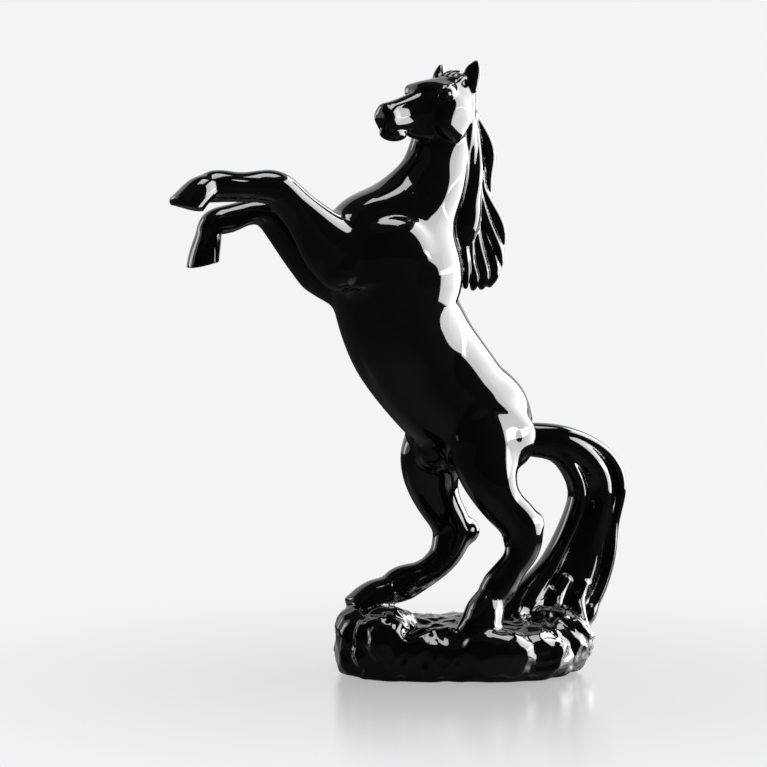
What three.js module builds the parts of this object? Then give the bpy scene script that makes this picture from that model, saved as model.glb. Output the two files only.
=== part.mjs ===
// A rearing horse on a rough rock, cast as one solid piece of black crystal.
// Millimetres, +Z up. The origin is the middle of the flat underside.
// The horse rears toward -X, with its body turned a little so that its left side shows from -Y.
import * as THREE from 'three';

// Driving dimensions
const BODY_TURN = 30;        // degrees that the body turns toward -Y, from -X
const HEAD_TURN = 38;        // degrees for the head, which looks a little further round
const TAIL_TURN = 20;        // and for the tail
const JAW_SPREAD = 15;       // degrees that each jaw opens toward the throat
const RUMP_SPREAD = 12;      // and each thigh toward the tail
const BODY_MIDDLE = [17, 15];               // a point of the body's middle plane, from above
const HEAD_MIDDLE = [-21, -18.2];           // and of the head's
const ROCK_WIDTH = 96;       // from the front of the rock to its back
const ROCK_RIDGE = 5;        // height of the ridges broken into the rock
const UNDERSIDE_EDGE = 3;    // softening of the edge around the underside

// How finely the surface is found, and how many triangles are kept
const MOST_TRIANGLES = 9400;
const GRID = 2.2;            // step of the grid that the surface is first found on
const COARSE = 4;            // grid steps to a block; blocks away from the surface are passed over
const LOWEST_CORNER = [-190, -135, -5.5];   // z = 0 lies halfway between two layers of the grid
const HIGHEST_CORNER = [118, 82, 402];
const ROCK_TOP = 40;         // the rock lies below this height
const HEAD_FROM = 335;       // the head lies above this height
const HEAD_TO = 12;          // and to the left of this
const HEAD_CARE = 8;         // how much finer the head is kept than the body
const ROCK_CARE = 0.35;      // and the rock

// Directions across the body and across the head, toward the horse's own left
const leftOf = (degrees) => {
  const turn = THREE.MathUtils.degToRad(degrees);
  return [Math.sin(turn), -Math.cos(turn), 0];
};
const BODY_LEFT = leftOf(BODY_TURN);
const HEAD_LEFT = leftOf(HEAD_TURN);
const TAIL_LEFT = leftOf(TAIL_TURN);
// The jaws and the thighs open toward the back, so each faces a little off its own side
const NEAR_JAW = leftOf(HEAD_TURN + JAW_SPREAD);
const FAR_JAW = leftOf(HEAD_TURN - JAW_SPREAD);
const NEAR_RUMP = leftOf(BODY_TURN + RUMP_SPREAD);
const FAR_RUMP = leftOf(BODY_TURN - RUMP_SPREAD);
const ALONG_X = [1, 0, 0];
const ALONG_Y = [0, 1, 0];

const dot = (a, b) => a[0] * b[0] + a[1] * b[1] + a[2] * b[2];
const cross = (a, b) => [
  a[1] * b[2] - a[2] * b[1],
  a[2] * b[0] - a[0] * b[2],
  a[0] * b[1] - a[1] * b[0],
];
const along = (a, b, share) => a.map((value, i) => value + b[i] * share);
const unit = (a) => a.map((value) => value / Math.hypot(...a));

// A point on the horse's other side: its mirror image in a plane through the middle.
function mirrored(point, middle, left) {
  const off = (point[0] - middle[0]) * left[0] + (point[1] - middle[1]) * left[1];
  return along(point, left, -2 * off);
}
const farSide = (point) => mirrored(point, BODY_MIDDLE, BODY_LEFT);
const farCheek = (point) => mirrored(point, HEAD_MIDDLE, HEAD_LEFT);

// How far a point lies outside an egg with half sizes a, b and c; less than 0 is inside.
// A power above 2 makes the egg squarer.
function outside(u, v, w, a, b, c, power) {
  const x = Math.abs(u) / a;
  const y = Math.abs(v) / b;
  const z = Math.abs(w) / c;
  const size = (x ** power + y ** power + z ** power) ** (1 / power) + 1e-9;
  const bend = size ** (1 - power);
  const slope = Math.hypot(x ** (power - 1) / a, y ** (power - 1) / b, z ** (power - 1) / c) * bend;
  return (size - 1) / (slope + 1e-9);
}

// A smooth curve through rows of numbers, spaced by the distance between the rows' places.
function smoothCurve(rows) {
  const last = rows.length - 1;
  const knots = [0];
  for (let i = 1; i <= last; i++) {
    const gap = Math.hypot(...[0, 1, 2].map((k) => rows[i][k] - rows[i - 1][k]));
    knots.push(knots[i - 1] + gap);
  }
  const bends = rows.map((row) => row.map(() => 0));
  for (let k = 0; k < rows[0].length; k++) {
    const share = [0];
    const sum = [0];
    for (let i = 1; i < last; i++) {
      const before = knots[i] - knots[i - 1];
      const after = knots[i + 1] - knots[i];
      const turn = (rows[i + 1][k] - rows[i][k]) / after - (rows[i][k] - rows[i - 1][k]) / before;
      const pivot = 2 * (before + after) - before * share[i - 1];
      share.push(after / pivot);
      sum.push((6 * turn - before * sum[i - 1]) / pivot);
    }
    for (let i = last - 1; i > 0; i--) {
      bends[i][k] = sum[i] - share[i] * bends[i + 1][k];
    }
  }
  // Writes each column's value at t into place, and its slope and bend into slope and bend.
  function spot(t, place, slope, bend) {
    let i = 0;
    while (i < last - 1 && t > knots[i + 1]) {
      i += 1;
    }
    const gap = knots[i + 1] - knots[i];
    const after = (t - knots[i]) / gap;
    const before = 1 - after;
    for (let k = 0; k < place.length; k++) {
      const [from, to] = [rows[i][k], rows[i + 1][k]];
      const [start, end] = [bends[i][k], bends[i + 1][k]];
      const ease = ((before ** 3 - before) * start + (after ** 3 - after) * end) * gap * gap / 6;
      place[k] = before * from + after * to + ease;
      slope[k] = (to - from) / gap + ((3 * after ** 2 - 1) * end - (3 * before ** 2 - 1) * start) * gap / 6;
      bend[k] = start * before + end * after;
    }
  }
  return { length: knots[last], spot };
}

// A limb, neck, lock or strand: rows of x, y, z, half width across and half depth,
// joined by a smooth curve. cap rounds its ends.
function limb(rows, left, power = 2.1, cap = 0.75) {
  const curve = smoothCurve(rows);
  const steps = Math.max(12, Math.round(curve.length / 2));
  const place = new Float64Array(5);
  const slope = new Float64Array(5);
  const bend = new Float64Array(5);
  const marks = [];
  const low = [Infinity, Infinity, Infinity];
  const high = [-Infinity, -Infinity, -Infinity];
  for (let i = 0; i <= steps; i++) {
    curve.spot(curve.length * i / steps, place, slope, bend);
    marks.push([place[0], place[1], place[2]]);
    const most = 1.05 * Math.max(place[3], place[4]);
    for (let k = 0; k < 3; k++) {
      low[k] = Math.min(low[k], place[k] - most);
      high[k] = Math.max(high[k], place[k] + most);
    }
  }
  function distance(point) {
    let nearest = 0;
    let least = Infinity;
    for (let i = 0; i <= steps; i++) {
      const [x, y, z] = marks[i];
      const far = (x - point[0]) ** 2 + (y - point[1]) ** 2 + (z - point[2]) ** 2;
      if (far < least) {
        least = far;
        nearest = i;
      }
    }
    let t = curve.length * nearest / steps;
    const off = [0, 0, 0];
    for (let turn = 0; turn < 4; turn++) {
      curve.spot(t, place, slope, bend);
      for (let k = 0; k < 3; k++) {
        off[k] = point[k] - place[k];
      }
      const speed = dot(slope, slope);
      const move = dot(off, slope) / Math.max(speed - dot(off, bend), 0.35 * speed);
      t = Math.min(curve.length, Math.max(0, t + move));
    }
    curve.spot(t, place, slope, bend);
    for (let k = 0; k < 3; k++) {
      off[k] = point[k] - place[k];
    }
    const ahead = unit([slope[0], slope[1], slope[2]]);
    const wide = unit(along(left, ahead, -dot(left, ahead)));
    const deep = cross(ahead, wide);
    const over = dot(off, ahead);
    const [a, b] = [3, 4].map((k) => Math.max(place[k] + slope[k] * over, 0.4 * place[k]));
    const round = cap * Math.min(place[3], place[4]);
    return outside(dot(off, wide), dot(off, deep), over, a, b, round, power);
  }
  return { low, high, distance };
}

// A muscle or a boulder: an egg that runs from one point to another.
function mound(from, to, width, thickness, left, power = 2) {
  const middle = from.map((value, k) => (value + to[k]) / 2);
  const reach = from.map((value, k) => to[k] - value);
  const ahead = unit(reach);
  const wide = unit(along(left, ahead, -dot(left, ahead)));
  const deep = cross(ahead, wide);
  const [a, b, c] = [Math.hypot(...reach) / 2, width / 2, thickness / 2];
  const round = power > 2 ? 1.25 : 1;
  const half = [0, 1, 2].map((k) => round * Math.hypot(ahead[k] * a, wide[k] * b, deep[k] * c));
  const distance = (point) => {
    const off = along(point, middle, -1);
    return outside(dot(off, ahead), dot(off, wide), dot(off, deep), a, b, c, power);
  };
  return { low: along(middle, half, -1), high: along(middle, half, 1), distance };
}

// The same, with the ridges and clefts of broken rock.
// ridge is their height and wave the distance between them.
function rock(boulder, ridge, wave, start) {
  const golden = 2.399963;
  const way = (i) => {
    const rise = ((i * 0.618 + start * 0.37) % 1) * 1.6 - 0.8;
    const flat = Math.sqrt(1 - rise * rise);
    return [Math.cos(golden * (i + start)) * flat, Math.sin(golden * (i + start)) * flat, rise];
  };
  const waves = [0, 1, 2, 3, 4, 5].map((i) => ({
    ahead: way(i),
    across: way(i + 7),
    rate: i < 3 ? 1 / wave : 1.9 / wave,
    share: i < 3 ? 0.215 : 0.118,
    offset: 1.3 * start + 1.7 * i,
  }));
  const distance = (point) => {
    let crest = 0;
    for (const { ahead, across, rate, share, offset } of waves) {
      const wander = 0.9 * Math.sin(3.1 * rate * dot(point, across) + offset);
      crest += share * (1 - Math.abs(Math.sin(Math.PI * rate * dot(point, ahead) + wander + offset)));
    }
    return boulder.distance(point) - ridge * (crest - 0.45);
  };
  return { low: boulder.low.map((v) => v - ridge), high: boulder.high.map((v) => v + ridge), distance };
}

// Joins two distances; soft is the depth of the hollow where the shapes meet.
function join(a, b, soft) {
  const near = Math.max(soft - Math.abs(a - b), 0) / soft;
  return Math.min(a, b) - near ** 3 * soft / 6;
}

// Forms in the order in which they are joined on, or cut in as hollows
const forms = [];
function add(shape, soft) {
  forms.push({ shape, soft, sign: 1, reach: soft + 10 });
}
function cut(shape, soft) {
  forms.push({ shape, soft, sign: -1, reach: soft + 3 });
}

// Distance of a point outside the whole casting, cut off flat underneath
function casting(point) {
  let value = 60;
  for (const { shape, soft, sign, reach } of forms) {
    const { low, high } = shape;
    const near = [0, 1, 2].every((k) => point[k] > low[k] - reach && point[k] < high[k] + reach);
    if (near) {
      value = sign * join(sign * value, shape.distance(point), soft);
    }
  }
  return -join(-value, point[2], UNDERSIDE_EDGE);
}

// Barrel of the horse, from the rump up to the withers, with the neck, breast and groin
function addTrunk() {
  // trunk
  add(limb([
    [28, 25, 150, 22, 25],
    [17, 18.7, 158, 31, 33.6],
    [2, 11.6, 168, 33, 36.6],
    [-13, 3.5, 184.4, 32.5, 38.2],
    [-26.6, -3.4, 202.4, 33, 39.2],
    [-36, -10.3, 218.4, 34.3, 39.6],
    [-42.2, -15.7, 236.4, 36, 39.6],
    [-43.5, -19, 256.5, 35.5, 44],
    [-47, -22, 275.5, 31, 39],
  ], BODY_LEFT, 2.15, 0.8), 1);
  // neck
  add(limb([
    [-42.5, -21, 267.5, 26.5, 39],
    [-36, -19, 286, 23.2, 34],
    [-28, -15, 303, 20, 27.5],
    [-20, -11, 318.5, 17, 23],
    [-16, -7, 334, 14.5, 20.5],
    [-13.5, -5, 350.5, 12.5, 17.5],
    [-10.5, -4, 364.5, 10.5, 13.5],
  ], BODY_LEFT, 2.1, 0.8), 12);
  // near breast
  add(mound([-72, -42, 296.5], [-62, -42, 265.5], 34, 34, BODY_LEFT), 9);
  // far breast
  add(mound([-77, -22, 295], [-71, -24, 265], 30, 30, BODY_LEFT), 9);
  // breast flare
  add(limb([
    [-42.5, -26, 305.8, 15, 9],
    [-55.1, -32, 301.8, 18, 10],
    [-66.9, -40, 296.6, 17, 10],
    [-76.8, -48, 289.2, 13, 8],
  ], BODY_LEFT), 14);
  add(mound([-7.5, -18, 174], [-11.5, -16, 154], 12, 11, BODY_LEFT), 4);                 // sheath
  add(mound([-15, 0, 156.5], [-22.5, 4, 132], 22, 22, BODY_LEFT), 8);                    // groin
}

// Head, with its cheeks, brows, eyes, nostrils, chin, ears and forelock
function addHead() {
  // head
  add(limb([
    [-1.2, -2.7, 372.2, 10, 12],
    [-8.9, -8.7, 367.6, 13, 15.5],
    [-16.6, -14.8, 363.3, 13, 16.8],
    [-25.5, -21.7, 360.4, 9.8, 14.4],
    [-34.4, -28.7, 358.5, 6.8, 11.6],
    [-42.6, -35.1, 356, 7, 10.6],
    [-48.8, -39.9, 354.4, 7.6, 10.2],
  ], HEAD_LEFT, 2.3, 0.75), 4);
  // forehead
  add(limb([
    [-10.6, -26.6, 371.8, 5, 7.5],
    [-21.7, -18.7, 372.8, 6.2, 11],
    [-32.7, -10.8, 372.3, 5, 7.5],
  ], [0, 0, 1], 2.3, 0.7), 6);
  // near nasal edge
  add(limb([
    [-11.6, -17.2, 374.3, 3.4, 3],
    [-23.1, -25.2, 369.7, 3.2, 3],
    [-34.4, -33, 364.5, 3, 3],
    [-44.5, -40.4, 360.6, 3, 3],
  ], HEAD_LEFT), 3);
  // far nasal edge
  add(limb([
    [-25.4, -11.5, 374.4, 3.4, 3],
    [-31.2, -20.8, 369.8, 3.2, 3],
    [-38.2, -27.3, 364.6, 3, 3],
    [-46.9, -34.6, 360.7, 3, 3],
  ], HEAD_LEFT), 3);
  // near jowl
  add(mound([-1.7, -10.7, 367.5], [-14.8, -21.5, 343.8], 15.6, 28.5, NEAR_JAW, 2.9), 3);
  // far jowl
  add(mound(
    farCheek([-1.7, -10.7, 367.5]), farCheek([-14.8, -21.5, 343.8]), 15.6, 28.5, FAR_JAW, 2.9,
  ), 3);
  for (const cheek of [(point) => point, farCheek]) {
    // socket
    cut(mound(cheek([-7.5, -30, 370.5]), cheek([-17.3, -37.1, 368.6]), 6.6, 9, HEAD_LEFT), 1.8);
    // eye
    add(mound(cheek([-9.4, -25.6, 371]), cheek([-15.4, -29.8, 369.5]), 7.6, 5.8, HEAD_LEFT), 0.5);
    // nostril
    add(mound(cheek([-43.2, -41.4, 359.3]), cheek([-49.4, -46.5, 352.7]), 7, 9.5, HEAD_LEFT), 3);
    // nostril hollow
    cut(limb([
      [...cheek([-46.4, -48.7, 359.5]), 1.6, 1.2],
      [...cheek([-48.8, -51.2, 357.2]), 2.3, 1.9],
      [...cheek([-49.7, -51.9, 354.3]), 2.3, 1.9],
      [...cheek([-48.2, -50, 352]), 1.5, 1.2],
    ], HEAD_LEFT), 1);
  }
  add(mound([-3.7, -4.7, 347.5], [-38.2, -31.6, 347.7], 12, 14, HEAD_LEFT), 4);          // jaw
  add(mound([-36.9, -30.6, 345.1], [-52.9, -43.1, 345.9], 11.4, 10, HEAD_LEFT), 2);      // chin
  // near ear
  add(limb([
    [4.4, -8, 373.3, 4, 3.4],
    [4.7, -9, 378.9, 5.4, 3.8],
    [5.4, -10, 383.9, 5.7, 3.6],
    [7, -10.5, 388.3, 4, 2.8],
    [8, -11, 391.5, 1.4, 1.3],
  ], [0.95, 0.3, 0]), 2);
  // ear hollow
  cut(limb([
    [2.3, -15.4, 376.8, 4.2, 3],
    [2.9, -16, 380.9, 5.4, 3.8],
    [4.4, -16, 385.3, 4.8, 3.6],
    [6.7, -14.6, 388.8, 2.4, 2.2],
  ], [0.95, 0.3, 0]), 1.2);
  // far ear
  add(limb([
    [-14.4, 2, 376.1, 5, 5],
    [-15.2, 5.5, 381.9, 4.6, 3.8],
    [-14.7, 7, 386.4, 3, 2.6],
    [-14, 8, 390.6, 0.9, 0.9],
  ], [0.9, 0.4, 0]), 2);
  const forelock = [
    [
      [1.3, -3.3, 379.7, 2, 2.5],
      [-3.8, -6.7, 382.8, 3.2, 3],
      [-9.6, -11.8, 381, 3, 2.6],
      [-14.8, -15.9, 376.8, 1, 1],
    ],
    [
      [3.1, -7, 378.3, 2, 2.5],
      [-0.8, -11.3, 380.7, 2.8, 2.4],
      [-4.7, -15.6, 378.1, 2.4, 2],
      [-7.9, -19.4, 374.8, 1, 1],
    ],
    [
      [-1.1, 2.4, 381.2, 2, 2.5],
      [-7.5, -2.6, 383.2, 3, 2.8],
      [-13.3, -7.1, 381.2, 2.6, 2.2],
      [-19.1, -11.6, 377.6, 1, 1],
    ],
  ];
  for (const lock of forelock) {
    add(limb(lock, HEAD_LEFT), 1.2);                                                     // forelock
  }
}

// Forelegs, held out bent at the knee; the hooves hang from the fetlocks
function addForelegs() {
  // near shoulder
  add(mound([-23, -39, 280], [-74, -54, 255], 27, 50, BODY_LEFT), 6.5);
  // far shoulder
  add(mound(farSide([-23, -39, 280]), farSide([-74, -54, 255]), 27, 50, BODY_LEFT), 6.5);
  // near fore
  add(limb([
    [-67, -46, 268, 15, 23],
    [-81.5, -56, 275, 14.5, 21.5],
    [-96, -65, 290.5, 12.5, 14.4],
    [-107.5, -73, 303, 11, 11.6],
    [-118, -80, 311.5, 10.8, 11],
    [-129, -86, 312.5, 9.2, 9.6],
    [-142.5, -95, 312.5, 8.8, 9.3],
    [-154, -102, 312.5, 9.2, 9.6],
    [-159.5, -106, 310.5, 8.4, 8.2],
  ], BODY_LEFT), 8);
  // near elbow
  add(mound([-70.5, -56, 268.3], [-86.6, -60, 251.7], 22, 24, BODY_LEFT), 6);
  // girth fold
  add(limb([
    [-71.8, -56, 251.6, 5, 2.6],
    [-58.1, -53.2, 254.9, 6.6, 4.4],
    [-42.6, -46.8, 256.2, 6.2, 4],
    [-32.6, -41, 256, 4, 2.4],
  ], BODY_LEFT), 3.5);
  // near fore hoof
  add(limb([
    [-156.1, -104, 312.1, 8, 8.2],
    [-161.2, -109, 310, 9.4, 8.8],
    [-166.4, -113, 304.6, 10.4, 9.4],
    [-170.4, -116, 299.9, 11, 9.8],
  ], BODY_LEFT, 2.3, 0.3), 1.5);
  // near fore sole
  cut(mound([-184.1, -126, 286.6], [-149.9, -98, 273.4], 60, 37, BODY_LEFT, 4), 1.4);
  // far fore
  add(limb([
    [-72, -14, 258.5, 15, 25],
    [-86, -16, 261, 13.5, 20],
    [-101, -22, 272.5, 12, 15.5],
    [-113.5, -29, 286, 10.8, 12],
    [-126, -36, 296.3, 10.4, 9],
    [-138.5, -44, 295.5, 8.8, 8],
    [-148.5, -51, 292.2, 8.6, 8.8],
    [-157, -57, 288.8, 9, 8],
    [-159, -59, 284.5, 8.2, 7.6],
  ], BODY_LEFT), 8);
  // far elbow
  add(mound([-90, -20, 265], [-100, -16, 249.5], 20, 18, BODY_LEFT), 6);
  // far fore hoof
  add(limb([
    [-159, -59.5, 283, 8.2, 7.6],
    [-160.2, -61.5, 277, 9.6, 8.2],
    [-161.6, -63.5, 270, 10.6, 8.8],
    [-162.6, -64.5, 262, 11.2, 9.4],
  ], BODY_LEFT, 2.3, 0.35), 1.5);
  // far fore sole
  cut(mound([-178.7, -70, 241.3], [-144.9, -56, 250.7], 60, 37, BODY_LEFT, 4), 1.4);
}

// Hind legs, which stand on the rock and carry the whole horse with the tail
function addHindLegs() {
  // near haunch
  add(mound([20.5, -5, 173], [7.5, -18, 133.5], 27.5, 45, NEAR_RUMP), 6.5);
  // far haunch
  add(mound(farSide([20.5, -5, 173]), farSide([7.5, -18, 133.5]), 27.5, 45, FAR_RUMP), 6.5);
  // near hind
  add(limb([
    [20.5, 2, 159.5, 20, 28],
    [15, -10, 141.5, 17.5, 25],
    [18, -16, 123.5, 14.5, 17.5],
    [27, -14.5, 108, 12, 13.6],
    [37.5, -12, 95, 11.5, 13],
    [38, -13.5, 81.5, 9.6, 10.8],
    [30, -17, 69, 9.2, 9.6],
    [22.5, -20.5, 58.5, 10.6, 11.2],
    [17, -24, 51.5, 9.2, 9.6],
  ], BODY_LEFT), 9);
  add(mound([38, 6, 163], [27, -5, 135], 24, 26, BODY_LEFT), 11);                        // buttock
  // near hock
  add(mound([40.5, -11, 98.5], [51, -8, 96.5], 12, 14, BODY_LEFT), 5);
  // near hock front
  add(mound([32.9, -13, 97.6], [32.3, -13, 79.6], 17, 12, BODY_LEFT), 7);
  // near hind hoof
  add(limb([
    [16.5, -24.5, 50.5, 9.6, 9.8],
    [14, -27, 45, 11.4, 11.8],
    [11, -31, 35, 12.8, 13.6],
  ], BODY_LEFT, 2.3, 0.35), 3);
  // far hind
  add(limb([
    [5, 30, 155.5, 19, 28],
    [-17.5, 22, 139, 17, 24],
    [-19, 24, 121, 14, 18.4],
    [-12.6, 28.4, 103, 12, 13.8],
    [-6, 32.6, 87, 11.2, 12.2],
    [-10.5, 29, 73.5, 9.8, 10.4],
    [-26, 20, 60.5, 9.2, 9.4],
    [-41, 11, 55, 10.6, 11.4],
    [-48.5, 6, 51.5, 9.2, 9],
  ], BODY_LEFT), 9);
  add(mound([-3, 34.5, 92], [10.5, 38, 83], 14, 17, BODY_LEFT), 7);                      // far hock
  // far hock front
  add(mound([-10.2, 30, 95.2], [-11.5, 28, 73.1], 18, 13, BODY_LEFT), 6);
  // far hind hoof
  add(limb([
    [-48, 5.5, 52, 9.4, 9.4],
    [-56, 2.5, 48.5, 11.4, 11.2],
    [-65, -2, 40.5, 12.8, 12.8],
  ], BODY_LEFT, 2.3, 0.35), 3);
}

// Mane, a crest of hair with pointed locks that fall behind the neck
function addMane() {
  // crest
  add(limb([
    [1.7, -1, 374.7, 4, 4],
    [2.8, 1, 357.7, 5, 6],
    [4.1, 3, 338.7, 5.5, 8],
    [2.9, 4, 319.6, 7, 9],
    [1.7, 3, 300.5, 9.5, 9],
    [-1.5, 1, 281.4, 8.5, 8],
    [-4.1, -1, 270.6, 3, 4],
  ], ALONG_X), 5);
  const locks = [
    [
      [3.8, -8, 372, 2.4, 3],
      [3.9, -5, 357.6, 3.2, 4],
      [2.1, -2.5, 338.6, 3.4, 4.5],
      [-1.7, -3, 319.6, 3.4, 4.5],
      [-5.6, -6, 300.6, 3.2, 4],
      [-10.7, -10, 288.6, 1.2, 1.6],
    ],
    [
      [7.9, 2, 348.2, 2, 3],
      [8.6, 3, 329.2, 3.6, 5],
      [6.1, 2, 310.1, 5.4, 6.5],
      [1, 0, 294.2, 5.6, 6.5],
      [-3.6, -3, 280.9, 3.4, 4.4],
      [-4.8, -4, 274.5, 1.2, 1.8],
    ],
    [
      [3.3, -1, 371.6, 2, 3],
      [5.7, 3, 357.7, 2.2, 4],
      [9.3, 6, 338.7, 2.4, 4],
      [11.7, 8, 322.8, 2.2, 4],
      [13.3, 9, 307.5, 1.2, 2],
    ],
    [
      [6.4, 6, 361, 1.6, 4],
      [12, 10, 348.3, 3.8, 5],
      [16.3, 12, 334.3, 4.8, 5],
      [16, 13, 319, 3.6, 4.5],
      [17.6, 13, 305.5, 1, 1.5],
    ],
    [
      [12.1, 10, 313.2, 2, 4],
      [16.7, 12, 301.7, 3.6, 5],
      [22.5, 14, 289.5, 4.2, 5],
      [25.5, 14, 278, 2.6, 3.5],
      [24.5, 14, 270.2, 1, 1.5],
    ],
    [
      [9.5, 9, 311.3, 3, 5],
      [14.1, 11, 290.8, 4.4, 5],
      [19.9, 12, 276.7, 4.4, 5],
      [23.2, 12, 265.8, 3.4, 4],
      [22.9, 12, 259.4, 1.6, 2],
    ],
    [
      [8.9, 9, 297.3, 2.4, 4],
      [12.8, 10, 280.6, 4, 5],
      [18, 10.5, 266.5, 4.6, 5],
      [19.3, 10, 255.6, 3.8, 4],
      [16.7, 9, 248.9, 1.8, 2.2],
    ],
    [
      [7.5, 7, 294.1, 2.4, 4],
      [8.2, 7, 276.8, 4.4, 5.5],
      [11.5, 7, 262.7, 4.6, 5],
      [12.8, 7, 252.5, 3.8, 4],
      [11.5, 7, 247.4, 2, 2.2],
    ],
    [
      [5.5, 4, 290.9, 2.4, 4],
      [3.7, 4, 274.3, 4, 5],
      [5, 4, 260.3, 4, 4.5],
      [6.9, 4, 252, 3.4, 3.6],
      [6.3, 4, 247.2, 2, 2.2],
    ],
    [
      [0.3, 0, 287.2, 2.2, 3.5],
      [0.4, 0, 271.9, 3, 4],
      [1.3, 0, 259.1, 3.4, 3.8],
      [1.4, 0, 248, 1.6, 1.8],
    ],
    [
      [-8.8, -9, 286.1, 1.8, 2.4],
      [-5.6, -7, 273.3, 2.6, 3.4],
      [-3, -6, 260.6, 2.6, 3.4],
      [-1.6, -5, 248.5, 1, 1.2],
    ],
  ];
  for (const lock of locks) {
    add(limb(lock, ALONG_X), 2.2);
  }
}

// Tail, three thick strands on one core, which arch out and fall to the rock
function addTail() {
  // tail core
  add(limb([
    [54.2, 31, 146.1, 7.5, 8],
    [70.9, 38, 139.6, 9, 8.5],
    [83.2, 44, 129.2, 9.5, 10.5],
    [88.7, 47, 115, 9.5, 13],
    [89.5, 47, 99.1, 9.5, 12],
    [84.7, 44, 86.3, 9.5, 14],
    [81.3, 42, 73.3, 9.5, 16],
    [74.5, 37, 58.1, 10, 19.5],
    [65.8, 32, 44.3, 10.5, 23],
    [59, 28, 29.7, 11, 26],
  ], TAIL_LEFT), 4);
  const strands = [
    [
      [44.4, 30, 152.1, 8, 7],
      [61.6, 36, 152.9, 9, 4.5],
      [77.8, 43, 147.7, 10, 4.5],
      [92, 49, 138.6, 10, 4.6],
      [101, 53, 126.3, 10, 4.6],
      [103.1, 54, 110.9, 10, 4.2],
      [98.4, 52, 93.3, 10, 5.4],
      [97, 49, 74.4, 10, 4],
      [92.7, 44, 57.8, 10, 4.4],
      [84.4, 36, 40.4, 11, 5.4],
      [73.2, 24, 21.1, 12, 7],
    ],
    [
      [44.4, 30, 147.5, 9, 8.5],
      [64.3, 37, 144.9, 11.5, 9.4],
      [80.5, 43, 134.5, 12.5, 9.4],
      [89.3, 47, 119.6, 12.5, 9],
      [88.8, 47, 102.4, 12.5, 8.4],
      [84, 44, 86.9, 12, 9],
      [80.7, 42, 72, 12, 12.5],
      [75.2, 37, 54.8, 12.5, 14],
      [69.7, 32, 35.7, 13, 15],
      [65.6, 28, 19.2, 13, 15],
    ],
    [
      [45.7, 30, 143.6, 7, 7],
      [61.6, 35, 138.6, 9, 6.4],
      [71.7, 38.5, 126.4, 9.5, 5.8],
      [76.1, 40, 111.1, 9.5, 5.6],
      [72.8, 39, 96.7, 9.5, 5.8],
      [64.4, 34, 79.6, 9.5, 5.4],
      [55.6, 28, 63.9, 9.5, 7],
      [46.2, 21, 51.7, 10.5, 9.6],
      [38.1, 14, 39.7, 12, 13],
      [32.1, 8, 23.6, 14, 18],
    ],
  ];
  for (const strand of strands) {
    add(limb(strand, TAIL_LEFT), 3.2);
  }
}

// Rock under the hooves: one broad boulder with smaller ones that break its outline
function addRock() {
  // boulder
  add(rock(mound([-83, 1, 14], [73, 1, 14], ROCK_WIDTH, 44, ALONG_Y, 3), ROCK_RIDGE, 26, 3), 4);
  // left rock
  add(rock(mound([-71, -10, 22.5], [-27.5, -20, 21.5], 60, 46, ALONG_Y, 2.4), ROCK_RIDGE, 20, 5), 4);
  // left knob
  add(rock(mound([-81, -4, 24], [-54, -8, 28], 50, 36, ALONG_Y, 2.4), 4, 20, 11), 4);
  // front rock
  add(rock(mound([-4, -40, 19.5], [44.5, -36, 14], 30, 36, ALONG_Y, 2.2), 2, 30, 7), 3);
  // right rock
  add(rock(mound([37, 3, 21], [78.5, 20, 18], 70, 46, ALONG_Y, 2.2), ROCK_RIDGE, 18, 9), 4);
  add(mound([-5.8, -34, 31.4], [24.1, -30, 32], 26, 20, ALONG_Y), 4);                    // step
  const spread = [
    [
      [67.8, 24, 56.6, 4, 4],
      [62.1, 15, 44.7, 4, 4],
      [62.8, 3, 34.8, 4, 3.8],
      [69.7, -10, 26.4, 3.8, 3.6],
      [77.8, -14, 18, 3.2, 3],
    ],
    [
      [79.2, 28, 53.4, 4, 4],
      [76.1, 20, 41.4, 4, 4],
      [78.1, 10, 31.8, 4, 3.6],
      [82.1, 2, 22.6, 3.2, 3.2],
    ],
    [
      [55.9, 20, 50.6, 4, 4],
      [48.3, 10, 38.9, 4, 4],
      [50.1, -6, 29, 4, 3.8],
      [59.7, -18, 20.6, 3.8, 3.6],
      [69.8, -20, 11.2, 3, 3],
    ],
    [
      [43.8, 12, 46.5, 3.8, 3.8],
      [35.6, 0, 37.2, 3.8, 3.8],
      [38.7, -16, 28.6, 3.8, 3.6],
      [48.4, -27, 20.1, 3.4, 3.4],
      [56.5, -30, 10.3, 2.6, 2.6],
    ],
  ];
  for (const lock of spread) {
    add(limb(lock, TAIL_LEFT), 3);
  }
}

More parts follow.
